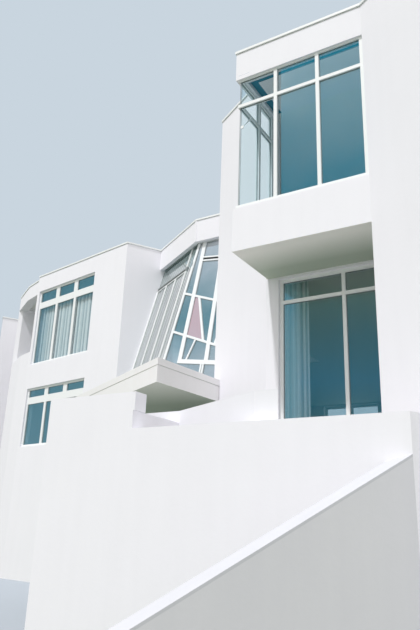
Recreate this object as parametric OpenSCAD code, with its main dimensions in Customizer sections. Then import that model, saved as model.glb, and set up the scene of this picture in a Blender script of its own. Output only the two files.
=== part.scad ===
// A white modern house on a slope. Its front folds to and fro between two
// directions: a tower with a corner bay window over a deep recess, a leaning
// glass wall that turns a corner under a folded fascia, a bedroom wing with a
// loggia at its end, and a pointed garden slab above white terrace walls.
// X runs to the right along the bay's front, Y goes into the house, Z is up.
// The origin is on the lowest ground, in the middle of the plan.

/* [Storeys] */
// Floor of the garden storey over the lowest ground
garden_level = 3000; // [2850:10:3150]
// Height from the garden storey's floor to the upper floor
storey_h = 3080; // [2950:10:3250]
// Height of the upper windows' sill over the floor
sill_h = 510; // [450:10:600]
// Height of the upper windows
window_h = 2540; // [2400:10:2700]
// Height of the fascias and walls over the upper windows
fascia_h = 630; // [590:10:720]
// Rise of the tower's left walls over the other walls
tower_rise = 460; // [350:10:600]
// Drop of the wing's left end below the wing
end_drop = 140; // [80:10:220]
// Height of the garden storey's sills over its floor
low_sill_h = 900; // [700:10:1100]
// Height of wall between the garden storey's windows and the upper floor
lintel_h = 40; // [30:5:60]
// Thickness of a floor slab
floor_t = 260; // [220:10:300]
// Thickness of a roof slab
roof_t = 250; // [200:10:280]
// Depth of a roof slab's top below the walls' top
roof_drop = 300; // [250:10:330]

/* [Walls] */
// Thickness of the outside walls
wall_t = 300; // [250:10:350]
// Angle of the slanting fronts to the bay's front
fan = 30.7; // [28:0.1:33]
// Angle of the wing's front to the bay's front
wing_turn = 10.2; // [8:0.1:12]
// Depth of the house from the bay's front to the back
house_back = 12915; // [12400:5:13400]
// Height of the metal copings
coping_h = 60; // [50:5:80]
// Overhang of the copings
coping_out = 20; // [10:5:30]
// Height and depth of the shadow gap under the copings' edges
coping_gap = 15; // [12:1:18]

/* [Tower] */
// Width of the bay
bay_w = 2280; // [2150:10:2400]
// Depth of the bay over the recess
bay_d = 1300; // [1150:10:1450]
// Thickness of the bay's apron and fascia
apron_t = 160; // [140:10:190]
// Left uprights of the bay's front window, from the bay's left edge
bay_bar_1 = 750; // [650:10:850]
// Right uprights of the bay's front window, from the bay's left edge
bay_bar_2 = 1500; // [1400:10:1600]
// Upright of the bay's side window, from the recess
side_bar = 550; // [450:10:650]
// Drop of the bay's roof edge below the wing's
edge_drop = 70; // [50:5:90]
// Face height of the bar at the head of the bay's glass
bay_head_w = 25; // [20:5:40]
// Drop of the bay's rail below the window head
rail_drop = 505; // [400:5:600]
// Width of the slanting wall left of the recess
west_w = 1830; // [1700:10:1950]
// Width of the slanting wall right of the bay
east_w = 2130; // [1900:10:2400]
// Wall between the recess's left corner and its window
jamb_w = 240; // [200:10:300]
// Upright of the recess window, from the recess's left corner
recess_bar = 1390; // [1250:10:1500]
// Drop of the recess window's rail below its head
recess_rail = 390; // [300:10:480]

/* [Glass hall] */
// Distance of the hall's front behind the slanting wall's left end
hall_back = 3005; // [2800:5:3200]
// Width of the hall's fascia right of the fold
hall_w = 2585; // [2450:5:2750]
// Width of the hall's fascia left of the fold
hall_left_w = 2415; // [2250:5:2600]
// Lean of the glass left of the fold, degrees off upright
lean = 14; // [13:0.5:15]
// Distance of the glass behind the fascia at the window head
glass_back = 140; // [125:5:170]
// Thickness of the hall's fascia
fascia_t = 120; // [90:5:135]
// Width of the narrow pane beside the hip, left of it
panel_w = 430; // [380:10:480]
// Width of the hip's bar on each side
hip_w = 45; // [35:5:55]
// Drop of the double rail below the window head
double_drop = 610; // [520:10:700]
// Distance between the two bars of the double rail
double_gap = 90; // [80:5:110]
// Depth of the dark seal behind the faces of the left double rail's bars
seal_in = 6; // [4:1:10]

/* [Wing] */
// Width of the wing's right side in front of the hall's fascia
wing_side_w = 1120; // [1000:10:1250]
// Width of the wing's right side behind the hall's fascia
wing_in_w = 580; // [500:10:650]
// Width of the wing's front
wing_w = 4630; // [4450:10:4800]
// Distance of the wing's windows from its right corner
win_right = 1480; // [1350:10:1550]
// Distance of the wing's windows from its left corner
win_left = 130; // [100:10:200]
// Face width of the broad bars in the wing's windows
wing_bar_w = 190; // [150:5:210]
// Face width of the narrow bars in the wing's windows
wing_slim_w = 110; // [90:5:130]
// Face height of the rail in the wing's upper window
wing_rail_w = 105; // [90:5:130]
// Rise of the wing's window head over the bay's
wing_head_rise = 80; // [60:5:100]
// Drop of the wing window's rail below its head
wing_rail = 470; // [420:10:520]
// Drop of the rail below the head of the wing's lower window
wing_low_rail = 350; // [300:10:400]

/* [Left end] */
// Width of the first front left of the wing
end_w = 820; // [750:10:900]
// Width of the second front left of the wing
loggia_w = 1380; // [1250:10:1500]
// Depth of the loggia
loggia_d = 1200; // [1050:10:1350]
// Height of the loggia's parapet over the floor
parapet_h = 1000; // [900:10:1100]
// Thickness of the loggia's side wall
screen_t = 120; // [100:5:150]
// Depth of the side behind the loggia's left corner
notch_d = 3160; // [3000:10:3300]
// Width of the wall set back left of the loggia
notch_w = 3260; // [3100:10:3400]
// Width of the far block's right side
far_side_w = 1630; // [1450:10:1750]
// Width of the far block's front
far_w = 1665; // [1500:5:1800]

/* [Garden slab] */
// Height of the garden slab's top over the garden storey's floor
deck_h = 1175; // [1100:5:1250]
// Thickness of the garden slab
prow_t = 285; // [260:5:320]
// Height of the kerb on the garden slab
kerb_h = 135; // [120:5:150]
// Thickness of the kerb
kerb_t = 100; // [80:5:120]
// Height and depth of the groove under the kerb
groove = 14; // [10:1:18]
// Distance of the slab's point in front of the slanting wall's left end
prow_out = 1974; // [1850:2:2100]
// Distance of the slab's point right of the slanting wall's left end
prow_side = 84; // [60:2:120]
// Angle of the slab's left edge to the bay's front
prow_turn = 28.9; // [28:0.1:30]
// Angle of the slab's right edge off square to the bay's front
prow_skew = 3; // [2:0.1:4]
// Length of the slab's left edge
prow_l = 4400; // [4200:20:4600]

/* [Terrace walls] */
// Distance of the terrace wall in front of the bay
terrace_gap = 1200; // [1050:10:1350]
// Reach of the terrace wall to the right of the bay
terrace_over = 650; // [550:10:750]
// Length of the terrace wall
terrace_w = 5320; // [5100:10:5500]
// Drop of the terrace wall's top below the garden storey's floor
terrace_drop = 130; // [80:10:180]
// Drop of the terrace's slab below the garden storey's floor
terrace_sink = 340; // [300:10:400]
// Height of the raised wall over the terrace wall
raised_h = 510; // [430:10:600]
// Length of the raised wall
raised_w = 1610; // [1500:10:1700]
// Height of the planter's side wall over the terrace wall
planter_h = 250; // [200:10:300]
// Setback of the planter's side wall from the raised wall's end
planter_set = 25; // [20:5:30]
// Height of the planter's back wall over the terrace wall
bed_h = 430; // [350:10:500]
// Distance of the planter's back wall behind the terrace wall's face
bed_d = 1130; // [1050:10:1200]
// Length of the planter's back wall left of its bend
bed_l = 690; // [600:10:750]
// Angle of the planter's back wall to the bay's front, right of its bend
bed_turn = 26.9; // [25:0.1:29]
// Thickness of the planter's back wall
bed_t = 150; // [120:10:180]
// Thickness of the terrace walls
garden_t = 250; // [200:10:260]
// Angle of the sloping wall to the bay's front
slope_turn = 60.9; // [60:0.1:62]
// Length of the sloping wall
slope_run = 4275; // [4100:5:4400]
// Height of the sloping wall where it leaves the terrace wall
slope_high = 2420; // [2350:10:2500]
// Slope of the wall's top, degrees
slope_fall = 26.7; // [26:0.1:27.4]
// Thickness of the sloping wall
slope_t = 260; // [220:10:300]
// Face height of the sloping wall's coping
slope_cap = 30; // [20:5:40]

/* [Windows] */
// Face width of a window bar
bar_w = 60; // [50:5:70]
// Face width of a heavy bar in the leaning glass
heavy_w = 110; // [90:5:120]
// Face width of a thin bar in the leaning glass
thin_w = 42; // [34:2:50]
// Depth of a window bar
bar_d = 70; // [60:5:80]
// Thickness of a pane
pane_t = 12; // [10:1:16]
// Distance of a window's face behind the wall's face
reveal = 60; // [50:5:80]
// Distance of the bay's glass front behind its apron's face
bay_reveal = 35; // [30:5:45]
// Width of the windows in the right and back walls
plain_w = 1900; // [1700:10:2100]
// Distance of the outer ones of those windows from their wall's ends
plain_end = 1600; // [1400:10:1800]
// Width of the loggia's glazed door
door_w = 1100; // [950:10:1200]
// Distance of that door from the loggia's left corner
door_x = 300; // [200:10:400]
// Depth that a hanging curtain takes
curtain_d = 80; // [60:5:90]
// Width of the recess's curtain
curtain_w = 560; // [450:10:650]
// Clearance round a curtain
curtain_gap = 12; // [8:1:16]

/* [Hidden] */

white = "#f3f4f7";
shade = "#c8cbd1";
glass = "#4d7f90";
slab_grey = "#d3d2d2";
cloth = "#e4e6e4";
rose = "#d8c3cc";
rubber = "#4a4c50";
over = 1;
big = 30000;

// Levels.
upper_level = garden_level + storey_h;
soffit = upper_level - floor_t;
low_sill = garden_level + low_sill_h;
low_head = soffit - lintel_h;
sill = upper_level + sill_h;
head = sill + window_h;
roof_top = head + fascia_h;
roof_z = roof_top - roof_drop - roof_t;
edge_top = roof_top - edge_drop;
tower_top = roof_top + tower_rise;
end_top = roof_top - end_drop;
deck_z = garden_level + deck_h;
terrace_top = garden_level - terrace_drop;

// Plan directions: of the slanting fronts and of the wing's front, each
// pointing left, of the sides square to the slanting fronts, of the garden
// slab's edges, of the sloping wall and of the planter's back wall.
dir_b = [-cos(fan), sin(fan)];
dir_wing = [-cos(wing_turn), sin(wing_turn)];
dir_end = [-cos(2 * wing_turn), sin(2 * wing_turn)];
dir_loggia = [-cos(3 * wing_turn), sin(3 * wing_turn)];
dir_far = [-cos(4 * wing_turn), sin(4 * wing_turn)];
dir_side = [sin(fan), cos(fan)];
dir_prow = [-cos(prow_turn), sin(prow_turn)];
dir_prow_r = [sin(prow_skew), cos(prow_skew)];
dir_slope = [-cos(slope_turn), -sin(slope_turn)];
dir_bed = [cos(bed_turn), -sin(bed_turn)];

// Crossing of two lines, unit vector, left normal, and the corner that lies a
// distance t to the left of the corner q between the edges p-q and q-r.
function cross2(a, b) = a[0] * b[1] - a[1] * b[0];
function meet(p, u, q, v) = p + u * cross2(q - p, v) / cross2(u, v);
function unit(a) = a / norm(a);
function left_of(a) = [-a[1], a[0]];
function inner(p, q, r, t) =
    let (u = unit(q - p), v = unit(r - q))
    meet(q + t * left_of(u), u, q + t * left_of(v), v);

// The corner i of the path pts, moved a distance t to the left.
function moved(pts, i, t) =
    i == 0 ? pts[0] + t * left_of(unit(pts[1] - pts[0])) :
    i == len(pts) - 1 ? pts[i] + t * left_of(unit(pts[i] - pts[i - 1])) :
    inner(pts[i - 1], pts[i], pts[i + 1], t);

// Extents of the plan from the bay's right front corner, which give the
// corner's place when the origin is in the middle.
jamb_out = reveal / 2;
to_right = east_w * cos(fan);
to_left = bay_w + jamb_out + (west_w + hall_left_w) * cos(fan) + hall_w
    + (wing_side_w - notch_d + far_side_w) * sin(fan) - wing_w * dir_wing[0]
    - end_w * dir_end[0] - loggia_w * dir_loggia[0] + notch_w - far_w * dir_far[0];
to_front = terrace_gap - slope_run * dir_slope[1];
to_back = house_back + coping_out;

// Corners of the outside face, run with the inside on the left.
bay_r = [(to_left - to_right) / 2, (to_front - to_back) / 2];
bay_l = bay_r - [bay_w, 0];
recess_r = bay_r + [0, bay_d];
recess_l = bay_l + [0, bay_d];
west_r = recess_l - [jamb_out, 0];
west_l = west_r + west_w * dir_b;
east_r = bay_r - east_w * dir_b;
back_r = [east_r[0], bay_r[1] + house_back];
hall_r = west_l + [0, hall_back];
fold = hall_r - [hall_w, 0];
fascia_l = fold + hall_left_w * dir_b;
wing_c = fascia_l - wing_side_w * dir_side;
wing_stub = fascia_l + wing_in_w * dir_side;
wing_l = wing_c + wing_w * dir_wing;
end_1 = wing_l + end_w * dir_end;
end_2 = end_1 + loggia_w * dir_loggia;
notch_r = end_2 + notch_d * dir_side;
notch_l = notch_r - [notch_w, 0];
far_c = notch_l - far_side_w * dir_side;
far_l = far_c + far_w * dir_far;
back_l = [far_l[0], back_r[1]];

// Inside corners of the walls.
in_west_l = inner(hall_r, west_l, west_r, wall_t);
in_west_r = inner(west_l, west_r, recess_r, wall_t);
in_recess_r = inner(west_r, recess_r, bay_r, wall_t);
in_bay_r = inner(recess_r, bay_r, east_r, wall_t);
in_east_r = inner(bay_r, east_r, back_r, wall_t);
in_back_r = inner(east_r, back_r, back_l, wall_t);
in_back_l = inner(back_r, back_l, far_l, wall_t);
in_far_l = inner(back_l, far_l, far_c, wall_t);
in_far_c = inner(far_l, far_c, notch_l, wall_t);
in_notch_l = inner(far_c, notch_l, notch_r, wall_t);
in_notch_r = inner(notch_l, notch_r, end_2, wall_t);
in_end_2 = inner(notch_r, end_2, end_1, wall_t);
in_end_1 = inner(end_2, end_1, wing_l, wall_t);
in_wing_l = inner(end_1, wing_l, wing_c, wall_t);
in_wing_c = inner(wing_l, wing_c, wing_stub, wall_t);
in_stub = wing_stub + wall_t * left_of(dir_side);

// The hall's base wall runs on in the slanting wall's face up to the wing.
base_l = meet(west_l, dir_b, wing_c, dir_side);
base_r = west_l + [0, wall_t / cos(fan)];

// Prism over the plan points pts.
module prism(pts, z0, z1) {
    translate([0, 0, z0])
        linear_extrude(z1 - z0)
            polygon(pts);
}

// Straight wall between two outside corners and their inside corners.
module wall(p, q, in_p, in_q, z0, z1) {
    color(white) prism([p, q, in_q, in_p], z0, z1);
}

// Strip along a path, between the distances t0 and t1 to the path's left.
module strip(pts, t0, t1, z0, z1) {
    last = len(pts) - 1;
    prism(concat([for (i = [0 : last]) moved(pts, i, t0)],
                 [for (i = [0 : last]) moved(pts, last - i, t1)]), z0, z1);
}

// Puts a shape drawn with X along the face from p to q and Y inwards.
module on_face(p, q) {
    translate([p[0], p[1], 0])
        rotate([0, 0, atan2(q[1] - p[1], q[0] - p[0])])
            children();
}

// A hole through a wall, from x0 to x1 along its face.
module opening(x0, x1, z0, z1) {
    translate([x0, -over, z0])
        cube([x1 - x0, wall_t + 2 * over, z1 - z0]);
}

// Bars of a window, at the depth y. The list bars holds boxes [x0, x1, z0, z1].
module bar_boxes(bars, y = reveal) {
    for (b = bars)
        translate([b[0], y, b[2]])
            cube([b[1] - b[0], bar_d, b[3] - b[2]]);
}

// Panes of a window: a sheet of glass less the bars.
module pane_boxes(x0, x1, z0, z1, bars, y = reveal) {
    difference() {
        translate([x0, y + (bar_d - pane_t) / 2, z0])
            cube([x1 - x0, pane_t, z1 - z0]);
        for (b = bars)
            translate([b[0], y - over, b[2]])
                cube([b[1] - b[0], bar_d + 2 * over, b[3] - b[2]]);
    }
}

// Floors and roofs.

tower_back = [in_west_l[0], back_r[1] - wall_t];

// The end of the slanting wall runs on to the bay's side window.
jamb_r = recess_l + [bay_reveal + bar_d, 0];
jamb_in = jamb_r + [0, wall_t];

module tower_floors() {
    color(shade) {
        prism([in_west_l, in_west_r, in_recess_r, in_bay_r, in_east_r, in_back_r, tower_back],
              garden_level - floor_t, garden_level);
        prism([in_west_l, in_west_r, west_r, recess_r, in_recess_r, in_bay_r, in_east_r,
               in_back_r, tower_back], soffit, upper_level);
    }
}

module tower_roof() {
    color(shade)
        prism([in_west_l, in_west_r, jamb_in, jamb_r, recess_r, bay_r, in_bay_r, in_east_r,
               in_back_r, tower_back], roof_z, roof_z + roof_t);
}

// The wing's plan inside its walls, left of the hall.
wing_left = [tower_back, in_back_l, in_far_l, in_far_c, in_notch_l, in_notch_r, in_end_2,
             in_end_1, in_wing_l, in_wing_c, in_stub];
wing_plan = concat(wing_left, [wing_stub, [tower_back[0], wing_stub[1]]]);

// The wing's garden floor runs on through the glass hall.
module wing_floors() {
    color(shade) {
        prism(concat(wing_left, [wing_stub, base_l + wall_t * dir_side, base_r, hall_r,
                                 [tower_back[0], hall_r[1]]]),
              garden_level - floor_t, garden_level);
        prism(wing_plan, soffit, upper_level);
    }
}

module wing_roof() {
    color(shade) prism(wing_plan, roof_z, roof_z + roof_t);
}

hall_path = [fascia_l, fold, hall_r];

module hall_roof() {
    color(shade)
        prism([moved(hall_path, 0, fascia_t), moved(hall_path, 1, fascia_t),
               moved(hall_path, 2, fascia_t), [tower_back[0], hall_r[1] + fascia_t],
               [tower_back[0], wing_stub[1]], wing_stub], roof_z, roof_z + roof_t);
}

// The tower.

module west_wall() {
    wall(west_l, west_r, in_west_l, in_west_r, 0, tower_top);
    color(white) prism([west_r, jamb_r, jamb_in, in_west_r], upper_level, tower_top);
}

module tower_left_wall() {
    wall(hall_r, west_l, [tower_back[0], hall_r[1]], in_west_l, 0, tower_top);
}

recess_x = recess_r[0] - west_r[0];
recess_bars = [[jamb_w, jamb_w + bar_w, garden_level, low_head],
               [recess_x - bar_w, recess_x, garden_level, low_head],
               [recess_bar - bar_w / 2, recess_bar + bar_w / 2, garden_level, low_head],
               [jamb_w, recess_x, garden_level, garden_level + bar_w],
               [jamb_w, recess_x, low_head - bar_w, low_head],
               [jamb_w, recess_x, low_head - recess_rail - bar_w,
                low_head - recess_rail]];

module recess_wall() {
    color(white)
        difference() {
            prism([west_r, recess_r, in_recess_r, in_west_r], 0, soffit);
            on_face(west_r, recess_r)
                opening(jamb_w, recess_x + wall_t + over, garden_level, low_head);
        }
}

module recess_frame() {
    color(white) on_face(west_r, recess_r) bar_boxes(recess_bars);
}

module recess_glass() {
    color(glass)
        on_face(west_r, recess_r)
            pane_boxes(jamb_w, recess_x, garden_level, low_head, recess_bars);
}

module recess_side_wall() {
    wall(recess_r, bay_r, in_recess_r, in_bay_r, 0, roof_z);
}

module east_wall() {
    wall(bay_r, east_r, in_bay_r, in_east_r, 0, edge_top);
}

// The bay's floor slab, with its apron in front and at the left.
module bay_base() {
    color(white) {
        translate([bay_l[0], bay_l[1], soffit]) cube([bay_w, bay_d, floor_t]);
        strip([recess_l, bay_l, bay_r], 0, apron_t, upper_level, sill);
    }
}

module bay_roof() {
    color(white) {
        translate([bay_l[0], bay_l[1], roof_z]) cube([bay_w, bay_d, roof_t]);
        strip([recess_l, bay_l, bay_r], 0, apron_t, head, edge_top);
    }
}

// The bay's glass turns the corner with no post.
bay_rail = head - rail_drop;
front_bars = [[bay_bar_1 - bar_w / 2, bay_bar_1 + bar_w / 2, sill, head],
              [bay_bar_2 - bar_w / 2, bay_bar_2 + bar_w / 2, sill, head],
              [bay_w - bar_w, bay_w, sill, head],
              [bay_reveal, bay_w, sill, sill + bar_w],
              [bay_reveal, bay_w, bay_rail - bar_w, bay_rail],
              [bay_reveal, bay_w, head - bay_head_w, head]];
side_x = bay_d - bay_reveal - bar_d;
side_bars = [[0, bar_w, sill, head],
             [side_bar - bar_w / 2, side_bar + bar_w / 2, sill, head],
             [0, side_x, sill, sill + bar_w],
             [0, side_x, bay_rail - bar_w, bay_rail],
             [0, side_x, head - bay_head_w, head]];

module bay_frame() {
    color(white) {
        on_face(bay_l, bay_r) bar_boxes(front_bars, bay_reveal);
        on_face(recess_l, bay_l) bar_boxes(side_bars, bay_reveal);
    }
}

module bay_glass() {
    corner = bay_reveal + (bar_d + pane_t) / 2;
    color(glass) {
        on_face(bay_l, bay_r)
            pane_boxes(corner, bay_w, sill, head, front_bars, bay_reveal);
        on_face(recess_l, bay_l)
            pane_boxes(0, bay_d - corner + pane_t, sill, head,
                       concat(side_bars, [[side_x, bay_d, sill, sill + bar_w],
                                          [side_x, bay_d, bay_rail - bar_w, bay_rail],
                                          [side_x, bay_d, head - bay_head_w, head]]),
                       bay_reveal);
    }
}

// Windows repeated along the unseen right and back walls.
function spread(p, q, gaps) =
    [for (i = [0 : gaps]) plain_end + i * (norm(q - p) - 2 * plain_end - plain_w) / gaps];
right_x = spread(east_r, back_r, 2);
back_x = spread(back_r, back_l, 4);

function plain_bars(x, z0, z1) =
    [[x, x + bar_w, z0, z1], [x + plain_w - bar_w, x + plain_w, z0, z1],
     [x + (plain_w - bar_w) / 2, x + (plain_w + bar_w) / 2, z0, z1],
     [x, x + plain_w, z0, z0 + bar_w], [x, x + plain_w, z1 - bar_w, z1]];

module plain_openings(xs) {
    for (x = xs) {
        opening(x, x + plain_w, sill, head);
        opening(x, x + plain_w, low_sill, low_head);
    }
}

module right_wall() {
    color(white)
        difference() {
            prism([east_r, back_r, in_back_r, in_east_r], 0, edge_top);
            on_face(east_r, back_r) plain_openings(right_x);
        }
}

module back_wall() {
    color(white)
        difference() {
            prism([back_r, back_l, in_back_l, in_back_r], 0, edge_top);
            on_face(back_r, back_l) plain_openings(back_x);
        }
}

module plain_frames() {
    color(white) {
        on_face(east_r, back_r)
            for (x = right_x) {
                bar_boxes(plain_bars(x, sill, head));
                bar_boxes(plain_bars(x, low_sill, low_head));
            }
        on_face(back_r, back_l)
            for (x = back_x) {
                bar_boxes(plain_bars(x, sill, head));
                bar_boxes(plain_bars(x, low_sill, low_head));
            }
        on_face(loggia_l, loggia_r) bar_boxes(door_bars);
    }
}

module plain_panes(x, z0, z1) {
    pane_boxes(x, x + plain_w, z0, z1, plain_bars(x, z0, z1));
}

module plain_glass() {
    color(glass) {
        on_face(east_r, back_r)
            for (x = right_x) {
                plain_panes(x, sill, head);
                plain_panes(x, low_sill, low_head);
            }
        on_face(back_r, back_l)
            for (x = back_x) {
                plain_panes(x, sill, head);
                plain_panes(x, low_sill, low_head);
            }
        on_face(loggia_l, loggia_r)
            pane_boxes(door_x, door_x + door_w, upper_level, head, door_bars);
    }
}

// The wing.

win_l = win_left;
win_r = wing_w - win_right;

// Bars of a wing window with uprights of the width w.
function wing_bars(z0, z1, w) =
    let (pitch = (win_r - win_l - bar_w) / 3)
    concat([[win_l, win_l + bar_w, z0, z1], [win_r - bar_w, win_r, z0, z1],
            [win_l, win_r, z0, z0 + bar_w], [win_l, win_r, z1 - bar_w, z1]],
           [for (i = [1 : 2], x = win_l + bar_w / 2 + i * pitch) [x - w / 2, x + w / 2, z0, z1]]);

// Both windows have broad uprights over their rail and narrow ones under it.
function railed_bars(foot, rail_top, top) =
    concat(wing_bars(rail_top, top, wing_bar_w),
           wing_bars(foot, rail_top - wing_rail_w, wing_slim_w),
           [[win_l, win_r, rail_top - wing_rail_w, rail_top]]);

wing_head = head + wing_head_rise;
wing_rail_foot = wing_head - wing_rail - wing_rail_w;
upper_bars = railed_bars(sill, wing_head - wing_rail, wing_head);
lower_bars = railed_bars(low_sill, low_head - wing_low_rail, low_head);

module wing_front_wall() {
    color(white)
        difference() {
            prism([wing_l, wing_c, in_wing_c, in_wing_l], 0, roof_top);
            on_face(wing_l, wing_c) {
                opening(win_l, win_r, sill, wing_head);
                opening(win_l, win_r, low_sill, low_head);
            }
        }
}

module wing_frames() {
    color(white)
        on_face(wing_l, wing_c) {
            bar_boxes(upper_bars);
            bar_boxes(lower_bars);
        }
}

module wing_glass() {
    color(glass)
        on_face(wing_l, wing_c) {
            pane_boxes(win_l, win_r, sill, wing_head, upper_bars);
            pane_boxes(win_l, win_r, low_sill, low_head, lower_bars);
        }
}

module wing_side_wall() {
    wall(wing_c, wing_stub, in_wing_c, in_stub, 0, roof_top);
}

// The wing's left end, with a loggia in the upper storey.

in_screen = meet(end_2 + screen_t * -dir_b, dir_side, end_1, dir_loggia);
loggia_line = end_2 + loggia_d * dir_side;
loggia_l = meet(in_end_2, dir_side, loggia_line, dir_b);
loggia_r = meet(wing_l, in_wing_l - wing_l, loggia_line, dir_b);
loggia_in = inner(loggia_l, loggia_r, in_wing_l, wall_t);
door_bars = [[door_x, door_x + bar_w, upper_level, head],
             [door_x + door_w - bar_w, door_x + door_w, upper_level, head],
             [door_x, door_x + door_w, upper_level, upper_level + bar_w],
             [door_x, door_x + door_w, head - bar_w, head]];

// The space of the loggia, open to the front.
module loggia_space() {
    screen_in = meet(in_screen, dir_side, loggia_line, dir_b);
    prism([in_screen - wall_t * dir_side, loggia_r - wall_t * dir_side,
           loggia_r, screen_in], upper_level, head);
}

module loggia_back_wall() {
    color(white)
        difference() {
            prism([loggia_l, loggia_r, in_wing_l, in_wing_l - wall_t * dir_wing, loggia_in,
                   loggia_l + wall_t * dir_side], upper_level, roof_z);
            on_face(loggia_l, loggia_r) opening(door_x, door_x + door_w, upper_level, head);
        }
}

module loggia_parapet() {
    color(white)
        prism([end_2, end_1, wing_l, in_wing_l, in_end_1, in_end_2],
              0, upper_level + parapet_h);
}

module loggia_fascia() {
    color(white)
        prism([end_2, end_1, wing_l, in_wing_l, in_end_1, in_end_2], head, end_top);
}

module notch_side_wall() {
    color(white)
        difference() {
            prism([notch_r, end_2, in_end_2, in_notch_r], 0, end_top);
            loggia_space();
        }
}

module notch_wall() {
    wall(notch_l, notch_r, in_notch_l, in_notch_r, 0, end_top);
}

module far_side_wall() {
    wall(far_c, notch_l, in_far_c, in_notch_l, 0, end_top);
}

module far_front_wall() {
    wall(far_l, far_c, in_far_l, in_far_c, 0, end_top);
}

module left_wall() {
    wall(back_l, far_l, in_back_l, in_far_l, 0, end_top);
}

// The glass hall.

module hall_base_wall() {
    color(white)
        prism([base_l, west_l, base_r, base_l + wall_t * dir_side], 0, deck_z - prow_t);
}

// The fascia has a narrow cover strip over its fold.
module hall_fascia() {
    cover_w = bar_w / 2;
    cover_t = pane_t;
    color(white) {
        strip(hall_path, 0, fascia_t, head, roof_top);
        strip([fold + cover_w * dir_b, fold, fold + [cover_w, 0]], -cover_t, fascia_t,
              head, roof_top);
    }
}

// The two leaning planes meet at the hip, which starts at this point at the
// window head. Both lean so that the hip is square to the left fascia.
hip = moved(hall_path, 1, glass_back);
hip_l = meet(hip, dir_b, wing_c, dir_side);
left_len = norm(hip - hip_l);
right_len = west_l[0] - hip[0];
right_lean = atan(cos(fan) * tan(lean));
glass_h = head - deck_z;
left_h = glass_h / cos(lean);
right_h = glass_h / cos(right_lean);
past = 2 * bar_d;

// Puts a flat shape drawn with X along a leaning face and Y up its slope, with
// the X axis at the window head; it is t thick, from the depth y inwards.
module leaning(p, turn, tilt, y, t) {
    translate([p[0], p[1], head])
        rotate([0, 0, turn])
            rotate([90 - tilt, 0, 0])
                translate([0, 0, -y - t])
                    linear_extrude(t)
                        children();
}

// Keeps what is between the garden slab and the roof.
module between_slabs() {
    intersection() {
        children();
        translate([-big / 2, -big / 2, deck_z]) cube([big, big, roof_z - deck_z]);
    }
}

// Keeps what is right of the upright plane through the hip.
module right_of_hip() {
    intersection() {
        children();
        translate([hip[0], hip[1], 0])
            rotate([0, 0, -fan])
                translate([0, -big / 2, 0]) cube([big, big, big]);
    }
}

// A flat bar of the width w from p to q.
module flat_bar(p, q, w) {
    translate(p)
        rotate(atan2(q[1] - p[1], q[0] - p[0]))
            translate([0, -w / 2])
                square([norm(q - p), w]);
}

// The left plane: a double rail, three panes under it and a narrow one beside
// the hip.
double_y = -double_drop / cos(lean);

module left_bars_2d() {
    pitch = (left_len - panel_w - bar_w / 2) / 3;
    foot = -left_h - past;
    for (i = [0 : 2])
        translate([i * pitch, foot]) square([bar_w, double_y - double_gap - foot]);
    translate([left_len - panel_w - bar_w / 2, foot]) square([bar_w, left_h + 2 * past]);
    translate([left_len - hip_w, foot]) square([hip_w, left_h + 2 * past]);
    translate([0, foot]) square([left_len, past + bar_w]);
    for (y = [double_y, double_y - double_gap])
        translate([0, y - thin_w]) square([left_len - panel_w, thin_w]);
}

// The dark seal between the double rail's bars.
module left_seal_2d() {
    translate([0, double_y - double_gap])
        square([left_len - panel_w - bar_w / 2, double_gap - thin_w]);
}

module left_sheet_2d() {
    translate([0, -left_h - past]) square([left_len, left_h + 2 * past]);
}

module left_lean_frame() {
    color(white)
        between_slabs()
            leaning(hip_l, -fan, lean, 0, bar_d) left_bars_2d();
}

module left_lean_glass() {
    color(glass)
        between_slabs()
            leaning(hip_l, -fan, lean, (bar_d - pane_t) / 2, pane_t)
                difference() {
                    left_sheet_2d();
                    left_bars_2d();
                    left_seal_2d();
                }
}

// The right plane's bars slant in many ways. Each is [from, to, width], and a
// point is [share of the width, share of the height below the window head].
right_bars = [
    [[0, 0], [-0.2475, 1], 2 * hip_w],
    [[0.077, -0.02], [0.022, 0.73], heavy_w],
    [[0.316, -0.02], [0.334, 0.75], heavy_w],
    [[0.62, -0.02], [0.66, 0.79], heavy_w],
    [[0.08, 0.1], [1, 0.163], thin_w],
    [[0.08, 0.1215], [1, 0.1845], thin_w],
    [[-0.06, 0.3187], [1, 0.521], bar_w],
    [[-0.12, 0.544], [1, 0.775], bar_w],
    [[0.02, 0.72], [1, 0.79], heavy_w],
    [[0.1258, 0.355], [0.262, 0.62], bar_w],
    [[0.1717, 0.605], [0.097, 0.72], thin_w],
    [[0.5, 0.425], [0.4, 0.655], bar_w],
    [[0.285, 0.745], [0.28, 1.01], thin_w],
    [[0.31, 0.745], [0.305, 1.01], thin_w]
];

function spot(s) = [s[0] * right_len, -s[1] * right_h];

// The rose pane's corners lie on the bars round it, and the dark seal lies
// between the double rail's bars.
rose_spots = [[0.0495, 0.34], [0.1258, 0.354], [0.262, 0.623], [0.03, 0.575]];
seal_spots = [[0.05, 0.098], [1, 0.163], [1, 0.1845], [0.05, 0.1195]];

module right_sheet_2d() {
    translate([-right_len, -right_h - past])
        square([2 * right_len, right_h + 2 * past]);
}

module right_bars_2d() {
    for (b = right_bars)
        flat_bar(spot(b[0]), spot(b[1]), b[2]);
    translate([-right_len, -right_h - past]) square([2 * right_len, past + bar_w]);
    translate([right_len - bar_w, -right_h - past])
        square([bar_w, right_h + 2 * past]);
    translate([-right_len, 0]) square([2 * right_len, past]);
}

// The spots' area less the bars.
module right_area_2d(spots) {
    difference() {
        polygon([for (s = spots) spot(s)]);
        right_bars_2d();
    }
}

// Puts a flat shape in the right plane, t thick at the middle of the bars.
module right_plane(t) {
    between_slabs()
        right_of_hip()
            leaning(hip, 0, right_lean, (bar_d - t) / 2, t)
                children();
}

module right_lean_frame() {
    color(white) right_plane(bar_d) right_bars_2d();
}

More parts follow.
